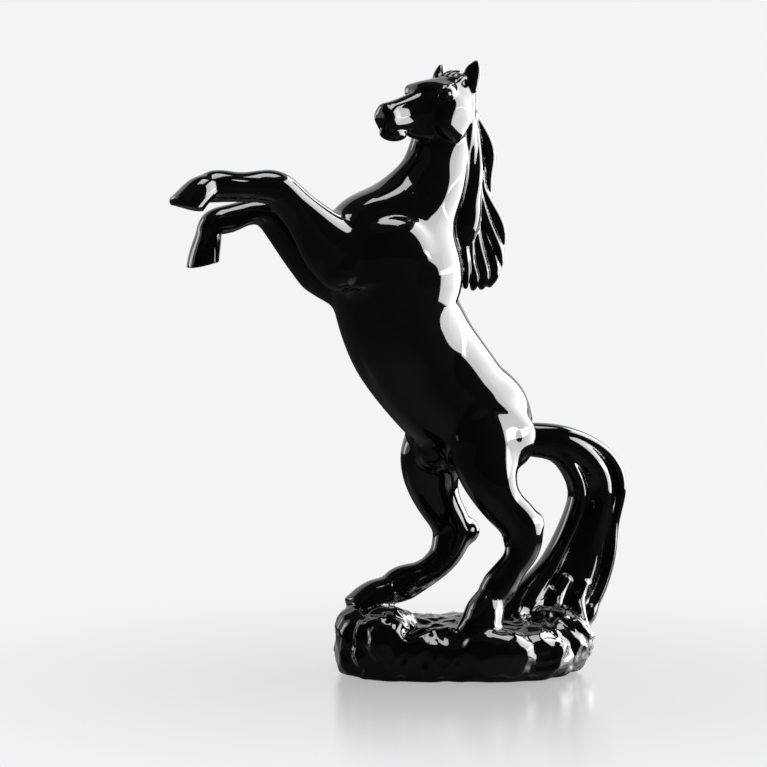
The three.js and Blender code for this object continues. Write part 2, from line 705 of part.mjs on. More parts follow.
// Distances of the casting on a grid of points, found closely only near the surface
function sampled() {
  const span = HIGHEST_CORNER.map((high, k) => high - LOWEST_CORNER[k]);
  const blocks = span.map((size) => Math.ceil(size / (GRID * COARSE)));
  const count = blocks.map((n) => n * COARSE + 1);
  const values = new Float32Array(count[0] * count[1] * count[2]).fill(NaN);
  const index = (i, j, k) => (i * count[1] + j) * count[2] + k;
  const place = (i, j, k) => [i, j, k].map((n, axis) => LOWEST_CORNER[axis] + n * GRID);
  const fill = (i, j, k) => {
    const at = index(i, j, k);
    if (Number.isNaN(values[at])) {
      values[at] = casting(place(i, j, k));
    }
    return values[at];
  };
  const eachBlock = (act) => {
    for (let i = 0; i < blocks[0]; i++) {
      for (let j = 0; j < blocks[1]; j++) {
        for (let k = 0; k < blocks[2]; k++) {
          act(i * COARSE, j * COARSE, k * COARSE);
        }
      }
    }
  };
  const cells = [];
  eachBlock((i, j, k) => {
    const corners = [];
    for (let n = 0; n < 8; n++) {
      corners.push(fill(i + COARSE * (n & 1), j + COARSE * ((n >> 1) & 1), k + COARSE * (n >> 2)));
    }
    const reach = GRID * COARSE;
    if (Math.min(...corners) < reach && Math.max(...corners) > -reach) {
      cells.push([i, j, k]);
    }
  });
  for (const [i, j, k] of cells) {
    for (let a = 0; a <= COARSE; a++) {
      for (let b = 0; b <= COARSE; b++) {
        for (let c = 0; c <= COARSE; c++) {
          fill(i + a, j + b, k + c);
        }
      }
    }
  }
  return { values, index, place, cells };
}

// Triangles where the surface crosses the grid. Each cell is parted into six tetrahedra along its
// long diagonal, which always gives a closed surface.
function surface({ values, index, place, cells }) {
  const orders = [[0, 1, 2], [1, 2, 0], [2, 0, 1], [0, 2, 1], [2, 1, 0], [1, 0, 2]];
  const points = [];
  const triangles = [];
  const made = new Map();
  // The point where the surface crosses the edge between two corners of the grid
  const crossing = (a, b) => {
    const [from, to] = a[0] + a[1] + a[2] < b[0] + b[1] + b[2] ? [a, b] : [b, a];
    const way = (to[0] - from[0]) + 2 * (to[1] - from[1]) + 4 * (to[2] - from[2]);
    const key = index(from[0], from[1], from[2]) * 8 + way;
    if (!made.has(key)) {
      const share = Math.min(0.95, Math.max(0.05, from[3] / (from[3] - to[3])));
      const start = place(from[0], from[1], from[2]);
      const end = place(to[0], to[1], to[2]);
      made.set(key, points.length);
      points.push(start.map((value, k) => value + (end[k] - value) * share));
    }
    return made.get(key);
  };
  const part = (corners, even) => {
    const inner = corners.filter((corner) => corner[3] < 0);
    const outer = corners.filter((corner) => corner[3] >= 0);
    if (inner.length === 0 || outer.length === 0) {
      return;
    }
    const order = [...inner, ...outer].map((corner) => corners.indexOf(corner));
    let swaps = 0;
    for (let a = 0; a < 4; a++) {
      for (let b = a + 1; b < 4; b++) {
        swaps += order[a] > order[b] ? 1 : 0;
      }
    }
    const outward = (swaps % 2 === 0) === even;
    const put = (a, b, c) => triangles.push(outward ? [a, b, c] : [a, c, b]);
    if (inner.length === 1) {
      put(...outer.map((corner) => crossing(inner[0], corner)));
    } else if (outer.length === 1) {
      put(...inner.map((corner) => crossing(corner, outer[0])));
    } else {
      const [i, j] = inner;
      const [k, l] = outer;
      const square = [crossing(i, k), crossing(i, l), crossing(j, l), crossing(j, k)];
      put(square[0], square[1], square[2]);
      put(square[0], square[2], square[3]);
    }
  };
  for (const [blockI, blockJ, blockK] of cells) {
    for (let n = 0; n < COARSE ** 3; n++) {
      const i = blockI + n % COARSE;
      const j = blockJ + Math.floor(n / COARSE) % COARSE;
      const k = blockK + Math.floor(n / COARSE ** 2);
      const corner = (a, b, c) => [i + a, j + b, k + c, values[index(i + a, j + b, k + c)]];
      const first = corner(0, 0, 0);
      const last = corner(1, 1, 1);
      const all = [1, 2, 4, 3, 5, 6].map((m) => corner(m & 1, (m >> 1) & 1, m >> 2));
      const inside = all.filter((c) => c[3] < 0).length + (first[3] < 0) + (last[3] < 0);
      if (inside === 0 || inside === 8) {
        continue;
      }
      orders.forEach(([a, b], turn) => {
        const step = [0, 0, 0];
        step[a] = 1;
        const second = corner(...step);
        step[b] = 1;
        part([first, second, corner(...step), last], turn < 3);
      });
    }
  }
  return { points, triangles };
}

// A queue that gives back its lowest cost first
function costQueue() {
  const heap = [];
  const swap = (a, b) => {
    const kept = heap[a];
    heap[a] = heap[b];
    heap[b] = kept;
  };
  const push = (entry) => {
    heap.push(entry);
    let at = heap.length - 1;
    while (at > 0 && heap[at].cost < heap[(at - 1) >> 1].cost) {
      swap(at, (at - 1) >> 1);
      at = (at - 1) >> 1;
    }
  };
  const pop = () => {
    const lowest = heap[0];
    const moved = heap.pop();
    if (heap.length > 0) {
      heap[0] = moved;
      let at = 0;
      for (;;) {
        const [left, right] = [2 * at + 1, 2 * at + 2];
        let least = at;
        least = left < heap.length && heap[left].cost < heap[least].cost ? left : least;
        least = right < heap.length && heap[right].cost < heap[least].cost ? right : least;
        if (least === at) {
          break;
        }
        swap(at, least);
        at = least;
      }
    }
    return lowest;
  };
  return { push, pop, size: () => heap.length };
}

// How closely a place is kept: the head is the finest carving and the rock the roughest.
function care(point) {
  if (point[2] > HEAD_FROM && point[0] < HEAD_TO) {
    return HEAD_CARE;
  }
  return point[2] < ROCK_TOP ? ROCK_CARE : 1;
}

// Merges neighbouring points, where that changes the shape least, until few triangles are left.
function simplified({ points, triangles }, most) {
  const errors = points.map(() => new Float64Array(10));
  const around = points.map(() => new Set());
  const stamps = points.map(() => 0);
  const normal = (a, b, c) => cross(along(b, a, -1), along(c, a, -1));
  triangles.forEach((triangle, t) => {
    const [a, b, c] = triangle.map((v) => points[v]);
    const area = normal(a, b, c);
    const size = Math.hypot(...area) + 1e-12;
    const [x, y, z] = area.map((value) => value / size);
    const w = -dot([x, y, z], a);
    const terms = [x * x, x * y, x * z, x * w, y * y, y * z, y * w, z * z, z * w, w * w];
    for (const v of triangle) {
      around[v].add(t);
      terms.forEach((term, n) => {
        errors[v][n] += term * size;
      });
    }
  });
  const errorAt = (q, [x, y, z]) => q[0] * x * x + 2 * q[1] * x * y + 2 * q[2] * x * z + 2 * q[3] * x
    + q[4] * y * y + 2 * q[5] * y * z + 2 * q[6] * y + q[7] * z * z + 2 * q[8] * z + q[9];
  const best = (u, v) => {
    const q = errors[u].map((value, n) => value + errors[v][n]);
    const middle = along(points[u], along(points[v], points[u], -1), 0.5);
    const choices = [points[u], points[v], middle];
    const rows = [[q[0], q[1], q[2]], [q[1], q[4], q[5]], [q[2], q[5], q[7]]];
    const size = dot(rows[0], cross(rows[1], rows[2]));
    if (Math.abs(size) > 1e-4 * (q[0] + q[4] + q[7]) ** 3) {
      const right = [-q[3], -q[6], -q[8]];
      const solved = [
        dot(right, cross(rows[1], rows[2])) / size,
        dot(rows[0], cross(right, rows[2])) / size,
        dot(rows[0], cross(rows[1], right)) / size,
      ];
      const gap = Math.hypot(...along(points[u], points[v], -1));
      if (Math.hypot(...along(solved, middle, -1)) < 1.5 * gap) {
        choices.push(solved);
      }
    }
    const ranked = choices.map((point) => ({ point, error: Math.max(0, errorAt(q, point)) }));
    ranked.sort((a, b) => a.error - b.error);
    return ranked[0];
  };
  const queue = costQueue();
  const offer = (u, v) => {
    const { point, error } = best(u, v);
    const gap = Math.hypot(...along(points[u], points[v], -1));
    const cost = (error + 1e-5 * gap ** 4) * care(point);
    queue.push({ cost, u, v, point, stamp: stamps[u] + stamps[v] });
  };
  const neighbours = (v) => {
    const found = new Set();
    for (const t of around[v]) {
      triangles[t].forEach((other) => found.add(other));
    }
    found.delete(v);
    return found;
  };
  points.forEach((_, u) => {
    for (const v of neighbours(u)) {
      if (u < v) {
        offer(u, v);
      }
    }
  });
  // Whether a triangle keeps facing the same way once one of its points has moved
  const faces = (t, from, point) => {
    const before = triangles[t].map((v) => points[v]);
    const after = triangles[t].map((v) => (v === from ? point : points[v]));
    const [a, b] = [normal(...before), normal(...after)];
    const sides = [0, 1, 2].map((k) => Math.hypot(...along(after[k], after[(k + 1) % 3], -1)));
    const longest = Math.max(...sides);
    const size = Math.hypot(...b);
    return dot(a, b) > 0.25 * Math.hypot(...a) * size && size > 0.04 * longest ** 2;
  };
  let left = triangles.length;
  while (left > most && queue.size() > 0) {
    const { u, v, point, stamp } = queue.pop();
    if (around[u].size === 0 || around[v].size === 0 || stamp !== stamps[u] + stamps[v]) {
      continue;
    }
    const besideV = neighbours(v);
    const shared = [...neighbours(u)].filter((other) => besideV.has(other));
    const keepsU = [...around[u]].filter((t) => !around[v].has(t));
    const keepsV = [...around[v]].filter((t) => !around[u].has(t));
    const safe = shared.length === 2 && keepsU.every((t) => faces(t, u, point))
      && keepsV.every((t) => faces(t, v, point));
    if (!safe) {
      continue;
    }
    for (const t of [...around[u]].filter((t) => around[v].has(t))) {
      triangles[t].forEach((other) => around[other].delete(t));
      left -= 1;
    }
    for (const t of keepsV) {
      triangles[t] = triangles[t].map((other) => (other === v ? u : other));
      around[u].add(t);
    }
    around[v].clear();
    points[u] = point;
    errors[u] = errors[u].map((value, n) => value + errors[v][n]);
    stamps[u] += 1 + stamps[v];
    for (const other of neighbours(u)) {
      offer(Math.min(u, other), Math.max(u, other));
    }
  }
  const kept = triangles.filter((triangle, t) => around[triangle[0]].has(t));
  return { points, triangles: kept };
}

// The part's own mesh, with its unused points left out and its underside exactly flat
function asGeometry({ points, triangles }) {
  const places = new Map();
  const positions = [];
  const corners = [];
  for (const v of triangles.flat()) {
    if (!places.has(v)) {
      const [x, y, z] = points[v];
      places.set(v, positions.length / 3);
      positions.push(x, y, Math.abs(z) < 0.02 ? 0 : z);
    }
    corners.push(places.get(v));
  }
  const geometry = new THREE.BufferGeometry();
  geometry.setAttribute('position', new THREE.Float32BufferAttribute(positions, 3));
  geometry.setIndex(corners);
  geometry.computeVertexNormals();
  return geometry;
}

addTrunk();
addHead();
addForelegs();
addHindLegs();
addMane();
addTail();
addRock();

const blackCrystal = new THREE.MeshStandardMaterial({ color: 0x08080a, roughness: 0.06, metalness: 0 });
const horse = new THREE.Mesh(asGeometry(simplified(surface(sampled()), MOST_TRIANGLES)), blackCrystal);
horse.name = 'rearing_horse';

const sculpture = new THREE.Group();
sculpture.add(horse);
export default sculpture;
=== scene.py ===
# A rearing horse on a rough rock, cast in one piece of black crystal and polished all over.
# Metres, +Z up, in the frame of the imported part; the horse's form is given in millimetres.
import bpy
import numpy as np
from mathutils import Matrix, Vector


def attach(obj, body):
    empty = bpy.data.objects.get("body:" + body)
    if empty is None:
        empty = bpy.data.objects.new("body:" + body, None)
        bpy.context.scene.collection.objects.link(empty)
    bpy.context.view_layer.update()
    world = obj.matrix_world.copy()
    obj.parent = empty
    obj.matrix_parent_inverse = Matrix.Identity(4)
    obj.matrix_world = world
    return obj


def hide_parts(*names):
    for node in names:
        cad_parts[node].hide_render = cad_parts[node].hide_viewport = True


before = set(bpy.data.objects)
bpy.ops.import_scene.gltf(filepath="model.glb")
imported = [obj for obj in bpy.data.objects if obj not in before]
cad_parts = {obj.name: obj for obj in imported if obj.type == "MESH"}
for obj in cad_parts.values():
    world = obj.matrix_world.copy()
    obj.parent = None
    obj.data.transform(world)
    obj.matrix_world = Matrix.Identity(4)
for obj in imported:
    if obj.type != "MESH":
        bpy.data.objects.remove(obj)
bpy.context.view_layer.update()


# The barrel: the horse's body from the rump up to the withers, with the neck, the breast and
# the groin. It is part of the one casting, so every form below is only added to `forms`,
# and the whole is turned into a single skin once the rock under it is there as well.

def left_of(degrees):
    """The horse's own left, when it has turned so many degrees from -X toward -Y."""
    turn = np.radians(degrees)
    return np.array([np.sin(turn), -np.cos(turn), 0.0])


BODY_LEFT = left_of(30)


def unit(vectors):
    return vectors / np.linalg.norm(vectors, axis=-1, keepdims=True)


def outside(local, half, power):
    """How far a place lies outside an egg with these half sizes; above power 2 it is squarer."""
    share = np.abs(local) / half
    size = (share ** power).sum(-1) ** (1 / power) + 1e-9
    slope = share ** (power - 1) / half * size[:, None] ** (1 - power)
    return (size - 1) / (np.sqrt((slope * slope).sum(-1)) + 1e-9)


class Limb:
    """A limb, neck, lock or strand: rows of x, y, z, half width and half depth on one curve."""

    def __init__(self, rows, left, power=2.1, cap=0.75):
        self.rows = np.array(rows, float)
        self.left, self.power, self.cap = left, power, cap
        steps = np.linalg.norm(np.diff(self.rows[:, :3], axis=0), axis=1)
        self.knots = np.r_[0, np.cumsum(steps)]
        count = len(self.rows)
        spread = np.eye(count)
        turns = np.zeros_like(self.rows)
        for i in range(1, count - 1):
            before, after = steps[i - 1], steps[i]
            spread[i, i - 1:i + 2] = before, 2 * (before + after), after
            turns[i] = 6 * ((self.rows[i + 1] - self.rows[i]) / after
                            - (self.rows[i] - self.rows[i - 1]) / before)
        self.bends = np.linalg.solve(spread, turns)
        self.marks = np.linspace(0, self.knots[-1], max(12, int(self.knots[-1] / 1.5)))
        self.spots = self.at(self.marks)[0]
        reach = 1.05 * self.spots[:, 3:].max(1)[:, None]
        self.low = (self.spots[:, :3] - reach).min(0)
        self.high = (self.spots[:, :3] + reach).max(0)

    def at(self, t):
        """Value, slope and bend of every column at the distances t."""
        i = np.clip(np.searchsorted(self.knots, t, side="right") - 1, 0, len(self.knots) - 2)
        gap = (self.knots[i + 1] - self.knots[i])[:, None]
        after = (t - self.knots[i])[:, None] / gap
        before = 1 - after
        start, end = self.bends[i], self.bends[i + 1]
        ease = ((before ** 3 - before) * start + (after ** 3 - after) * end) * gap * gap / 6
        value = before * self.rows[i] + after * self.rows[i + 1] + ease
        slope = (self.rows[i + 1] - self.rows[i]) / gap
        slope = slope + ((3 * after ** 2 - 1) * end - (3 * before ** 2 - 1) * start) * gap / 6
        return value, slope, before * start + after * end

    def __call__(self, points):
        spots = self.spots[:, :3]
        far = (spots * spots).sum(1)[None] - 2 * points @ spots.T
        t = self.marks[far.argmin(1)]
        for _ in range(4):
            value, slope, bend = (part[:, :3] for part in self.at(t))
            off = points - value
            speed = (slope * slope).sum(1)
            move = (off * slope).sum(1) / np.maximum(speed - (off * bend).sum(1), 0.35 * speed)
            t = np.clip(t + move, 0, self.knots[-1])
        value, slope, _ = self.at(t)
        off = points - value[:, :3]
        ahead = unit(slope[:, :3])
        wide = unit(self.left - (ahead @ self.left)[:, None] * ahead)
        deep = np.cross(ahead, wide)
        local = np.stack([(off * way).sum(1) for way in (wide, deep, ahead)], 1)
        size = np.maximum(value[:, 3:] + slope[:, 3:] * local[:, 2:], 0.4 * value[:, 3:])
        half = np.column_stack([size, self.cap * value[:, 3:].min(1)])
        return outside(local, np.maximum(half, 0.2), self.power)


class Mound:
    """A muscle or a boulder: an egg that runs from one place to another."""

    def __init__(self, start, end, width, thickness, left, power=2.0):
        start, end = np.array(start, float), np.array(end, float)
        ahead = unit(end - start)
        wide = unit(left - (ahead @ left) * ahead)
        self.ways = np.stack([ahead, wide, np.cross(ahead, wide)])
        self.middle = (start + end) / 2
        self.half = np.array([np.linalg.norm(end - start) / 2, width / 2, thickness / 2])
        self.power = power
        reach = 1.2 * np.sqrt(((self.ways * self.half[:, None]) ** 2).sum(0))
        self.low, self.high = self.middle - reach, self.middle + reach

    def __call__(self, points):
        return outside((points - self.middle) @ self.ways.T, self.half, self.power)


forms = []


def add(shape, soft):
    """Joins a form to the casting; soft is how far the hollow between them reaches."""
    forms.append((shape, soft, 1))


add(Limb([
    (28, 25, 150, 22, 25), (17, 18.7, 158, 31, 33.6), (2, 11.6, 168, 33, 36.6),
    (-13, 3.5, 184.4, 32.5, 38.2), (-26.6, -3.4, 202.4, 33, 39.2), (-36, -10.3, 218.4, 34.3, 39.6),
    (-42.2, -15.7, 236.4, 36, 39.6), (-43.5, -19, 256.5, 35.5, 44), (-47, -22, 275.5, 31, 39)],
    BODY_LEFT, 2.15, 0.8), 1)
add(Limb([
    (-42.5, -21, 267.5, 26.5, 39), (-36, -19, 286, 23.2, 34), (-28, -15, 303, 20, 27.5),
    (-20, -11, 318.5, 17, 23), (-16, -7, 334, 14.5, 20.5), (-13.5, -5, 350.5, 12.5, 17.5),
    (-10.5, -4, 364.5, 10.5, 13.5)], BODY_LEFT, 2.1, 0.8), 12)
add(Mound((-72, -42, 296.5), (-62, -42, 265.5), 34, 34, BODY_LEFT), 9)
add(Mound((-77, -22, 295), (-71, -24, 265), 30, 30, BODY_LEFT), 9)
add(Limb([
    (-42.5, -26, 305.8, 15, 9), (-55.1, -32, 301.8, 18, 10), (-66.9, -40, 296.6, 17, 10),
    (-76.8, -48, 289.2, 13, 8)], BODY_LEFT), 14)
add(Mound((-7.5, -18, 174), (-11.5, -16, 154), 12, 11, BODY_LEFT), 4)
add(Mound((-15, 0, 156.5), (-22.5, 4, 132), 22, 22, BODY_LEFT), 8)


# The head, a little turned toward the front: face, cheeks, eyes, nostrils, mouth, ears and forelock.
# Cast with the neck, and cut sharper than the body by hand before the polish.

HEAD_LEFT = left_of(38)
NEAR_JAW, FAR_JAW = left_of(53), left_of(23)        # the jaws open toward the throat
NEAR_EAR_LEFT, FAR_EAR_LEFT = (0.95, 0.3, 0), (0.9, 0.4, 0)
UPWARD = (0, 0, 1)


def cut(shape, soft):
    """Cuts a form's hollow out of what is there already."""
    forms.append((shape, soft, -1))


def mirrored(point, middle, left):
    """The same place on the horse's other side."""
    point = np.asarray(point, float)
    return tuple(point - 2 * ((point - middle) @ left) * left)


def near_side(point):
    return tuple(point)


def far_cheek(point):
    return mirrored(point, (-21, -18.2, 0), HEAD_LEFT)


FORELOCK = [
    [(1.3, -3.3, 379.7, 2, 2.5), (-3.8, -6.7, 382.8, 3.2, 3), (-9.6, -11.8, 381, 3, 2.6),
     (-14.8, -15.9, 376.8, 1, 1)],
    [(3.1, -7, 378.3, 2, 2.5), (-0.8, -11.3, 380.7, 2.8, 2.4), (-4.7, -15.6, 378.1, 2.4, 2),
     (-7.9, -19.4, 374.8, 1, 1)],
    [(-1.1, 2.4, 381.2, 2, 2.5), (-7.5, -2.6, 383.2, 3, 2.8), (-13.3, -7.1, 381.2, 2.6, 2.2),
     (-19.1, -11.6, 377.6, 1, 1)],
]

add(Limb([
    (-1.2, -2.7, 372.2, 10, 12), (-8.9, -8.7, 367.6, 13, 15.5), (-16.6, -14.8, 363.3, 13, 16.8),
    (-25.5, -21.7, 360.4, 9.8, 14.4), (-34.4, -28.7, 358.5, 6.8, 11.6),
    (-42.6, -35.1, 356, 7.0, 10.6), (-48.8, -39.9, 354.4, 7.6, 10.2)], HEAD_LEFT, 2.3, 0.75), 4)
add(Limb([
    (-10.6, -26.6, 371.8, 5, 7.5), (-21.7, -18.7, 372.8, 6.2, 11), (-32.7, -10.8, 372.3, 5, 7.5)],
    UPWARD, 2.3, 0.7), 6)
add(Limb([
    (-11.6, -17.2, 374.3, 3.4, 3), (-23.1, -25.2, 369.7, 3.2, 3), (-34.4, -33, 364.5, 3, 3),
    (-44.5, -40.4, 360.6, 3, 3)], HEAD_LEFT), 3)
add(Limb([
    (-25.4, -11.5, 374.4, 3.4, 3), (-31.2, -20.8, 369.8, 3.2, 3), (-38.2, -27.3, 364.6, 3, 3),
    (-46.9, -34.6, 360.7, 3, 3)], HEAD_LEFT), 3)
for on, jaw in ((near_side, NEAR_JAW), (far_cheek, FAR_JAW)):
    add(Mound(on((-1.7, -10.7, 367.5)), on((-14.8, -21.5, 343.8)), 15.6, 28.5, jaw, 2.9), 3)
for on in (near_side, far_cheek):
    # The eye: socket, ball and two lids.
    cut(Mound(on((-7.5, -30, 370.5)), on((-17.3, -37.1, 368.6)), 6.6, 9, HEAD_LEFT), 1.8)
    add(Mound(on((-9.4, -25.6, 371)), on((-15.4, -29.8, 369.5)), 7.6, 5.8, HEAD_LEFT), 0.5)
    add(Limb([
        on((-7.4, -24.6, 370)) + (1.1, 1.1), on((-9.7, -28.2, 372.7)) + (1.4, 1.2),
        on((-13.2, -31.5, 373.3)) + (1.5, 1.3), on((-16, -32.9, 371.8)) + (1.3, 1.2),
        on((-17.9, -32.5, 368.8)) + (1, 1)], HEAD_LEFT), 0.9)
    add(Limb([
        on((-8, -24.8, 368.9)) + (0.9, 0.9), on((-11.6, -28.6, 367.4)) + (1.1, 1),
        on((-15.4, -31.2, 367.4)) + (1, 0.9), on((-17.6, -32, 368.4)) + (0.9, 0.8)], HEAD_LEFT), 0.9)
    # The nostril's wing and hollow, and the line of the mouth.
    add(Mound(on((-43.2, -41.4, 359.3)), on((-49.4, -46.5, 352.7)), 7, 9.5, HEAD_LEFT), 3)
    cut(Limb([
        on((-46.4, -48.7, 359.5)) + (1.6, 1.2), on((-48.8, -51.2, 357.2)) + (2.3, 1.9),
        on((-49.7, -51.9, 354.3)) + (2.3, 1.9), on((-48.2, -50, 352)) + (1.5, 1.2)], HEAD_LEFT), 1)
    cut(Limb([
        on((-33.9, -37.7, 348.8)) + (2, 1), on((-38.2, -41.3, 346.9)) + (2.2, 1.2),
        on((-43.9, -46, 346.2)) + (2.2, 1.2), on((-49.5, -49.6, 347)) + (2, 1),
        on((-53.8, -47.6, 347.7)) + (2, 1)], HEAD_LEFT), 0.7)
# Between the jaws, the chin, the two ears and the forelock.
add(Mound((-3.7, -4.7, 347.5), (-38.2, -31.6, 347.7), 12, 14, HEAD_LEFT), 4)
add(Mound((-36.9, -30.6, 345.1), (-52.9, -43.1, 345.9), 11.4, 10, HEAD_LEFT), 2)
add(Limb([
    (4.4, -8, 373.3, 4, 3.4), (4.7, -9, 378.9, 5.4, 3.8), (5.4, -10, 383.9, 5.7, 3.6),
    (7, -10.5, 388.3, 4.0, 2.8), (8, -11, 391.5, 1.4, 1.3)], NEAR_EAR_LEFT), 2)
cut(Limb([
    (2.3, -15.4, 376.8, 4.2, 3), (2.9, -16, 380.9, 5.4, 3.8), (4.4, -16, 385.3, 4.8, 3.6),
    (6.7, -14.6, 388.8, 2.4, 2.2)], NEAR_EAR_LEFT), 1.2)
add(Limb([
    (-14.4, 2, 376.1, 5, 5), (-15.2, 5.5, 381.9, 4.6, 3.8), (-14.7, 7, 386.4, 3.0, 2.6),
    (-14, 8, 390.6, 0.9, 0.9)], FAR_EAR_LEFT), 2)
for lock in FORELOCK:
    add(Limb(lock, HEAD_LEFT), 1.2)


# The forelegs, held out bent at the knee with the hooves hanging from the fetlocks.
# They are part of the casting and touch nothing else.

def far_side(point):
    return mirrored(point, (17, 15, 0), BODY_LEFT)


for side in (near_side, far_side):
    add(Mound(side((-23, -39, 280)), side((-74, -54, 255)), 27, 50, BODY_LEFT), 6.5)
add(Limb([
    (-67, -46, 268, 15, 23), (-81.5, -56, 275, 14.5, 21.5), (-96, -65, 290.5, 12.5, 14.4),
    (-107.5, -73, 303, 11, 11.6), (-118, -80, 311.5, 10.8, 11), (-129, -86, 312.5, 9.2, 9.6),
    (-142.5, -95, 312.5, 8.8, 9.3), (-154, -102, 312.5, 9.2, 9.6), (-159.5, -106, 310.5, 8.4, 8.2)],
    BODY_LEFT), 8)
add(Mound((-70.5, -56, 268.3), (-86.6, -60, 251.7), 22, 24, BODY_LEFT), 6)
add(Limb([
    (-71.8, -56, 251.6, 5, 2.6), (-58.1, -53.2, 254.9, 6.6, 4.4), (-42.6, -46.8, 256.2, 6.2, 4),
    (-32.6, -41, 256, 4, 2.4)], BODY_LEFT), 3.5)
add(Limb([
    (-156.1, -104, 312.1, 8, 8.2), (-161.2, -109, 310, 9.4, 8.8), (-166.4, -113, 304.6, 10.4, 9.4),
    (-170.4, -116, 299.9, 11, 9.8)], BODY_LEFT, 2.3, 0.3), 1.5)
cut(Mound((-184.1, -126, 286.6), (-149.9, -98, 273.4), 60, 37, BODY_LEFT, 4), 1.4)
add(Limb([
    (-72, -14, 258.5, 15, 25), (-86, -16, 261, 13.5, 20), (-101, -22, 272.5, 12, 15.5),
    (-113.5, -29, 286, 10.8, 12), (-126, -36, 296.3, 10.4, 9), (-138.5, -44, 295.5, 8.8, 8),
    (-148.5, -51, 292.2, 8.6, 8.8), (-157, -57, 288.8, 9, 8), (-159, -59, 284.5, 8.2, 7.6)], BODY_LEFT), 8)
add(Mound((-90, -20, 265), (-100, -16, 249.5), 20, 18, BODY_LEFT), 6)
add(Limb([
    (-159, -59.5, 283, 8.2, 7.6), (-160.2, -61.5, 277, 9.6, 8.2), (-161.6, -63.5, 270, 10.6, 8.8),
    (-162.6, -64.5, 262, 11.2, 9.4)], BODY_LEFT, 2.3, 0.35), 1.5)
cut(Mound((-178.7, -70, 241.3), (-144.9, -56, 250.7), 60, 37, BODY_LEFT, 4), 1.4)


# The hind legs, which stand in the rock and carry the horse together with the tail.
# Solid crystal, with the points of the hocks drawn out behind.

NEAR_RUMP, FAR_RUMP = left_of(42), left_of(18)      # the thighs open toward the tail

for side, rump in ((near_side, NEAR_RUMP), (far_side, FAR_RUMP)):
    add(Mound(side((20.5, -5, 173)), side((7.5, -18, 133.5)), 27.5, 45, rump), 6.5)
add(Limb([
    (20.5, 2, 159.5, 20, 28), (15, -10, 141.5, 17.5, 25), (18, -16, 123.5, 14.5, 17.5),
    (27, -14.5, 108, 12, 13.6), (37.5, -12, 95, 11.5, 13), (38, -13.5, 81.5, 9.6, 10.8),
    (30, -17, 69, 9.2, 9.6), (22.5, -20.5, 58.5, 10.6, 11.2), (17, -24, 51.5, 9.2, 9.6)], BODY_LEFT), 9)
add(Mound((38, 6, 163), (27, -5, 135), 24, 26, BODY_LEFT), 11)
add(Mound((40.5, -11, 98.5), (51, -8, 96.5), 12, 14, BODY_LEFT), 5)
add(Mound((32.9, -13, 97.6), (32.3, -13, 79.6), 17, 12, BODY_LEFT), 7)
add(Limb([
    (16.5, -24.5, 50.5, 9.6, 9.8), (14, -27, 45, 11.4, 11.8), (11, -31, 35, 12.8, 13.6)],
    BODY_LEFT, 2.3, 0.35), 3)
add(Limb([
    (5, 30, 155.5, 19, 28), (-17.5, 22, 139, 17, 24), (-19, 24, 121, 14, 18.4),
    (-12.6, 28.4, 103, 12, 13.8), (-6, 32.6, 87, 11.2, 12.2), (-10.5, 29, 73.5, 9.8, 10.4),
    (-26, 20, 60.5, 9.2, 9.4), (-41, 11, 55, 10.6, 11.4), (-48.5, 6, 51.5, 9.2, 9)], BODY_LEFT), 9)
add(Mound((-3, 34.5, 92), (10.5, 38, 83), 14, 17, BODY_LEFT), 7)
add(Mound((-10.2, 30, 95.2), (-11.5, 28, 73.1), 18, 13, BODY_LEFT), 6)
add(Limb([
    (-48, 5.5, 52, 9.4, 9.4), (-56, 2.5, 48.5, 11.4, 11.2), (-65, -2, 40.5, 12.8, 12.8)],
    BODY_LEFT, 2.3, 0.35), 3)


# The mane: a crest of hair down the back of the neck, with pointed locks that fall behind it.
# Each lock is a raised strand of the casting.

ALONG_X = np.array([1.0, 0.0, 0.0])

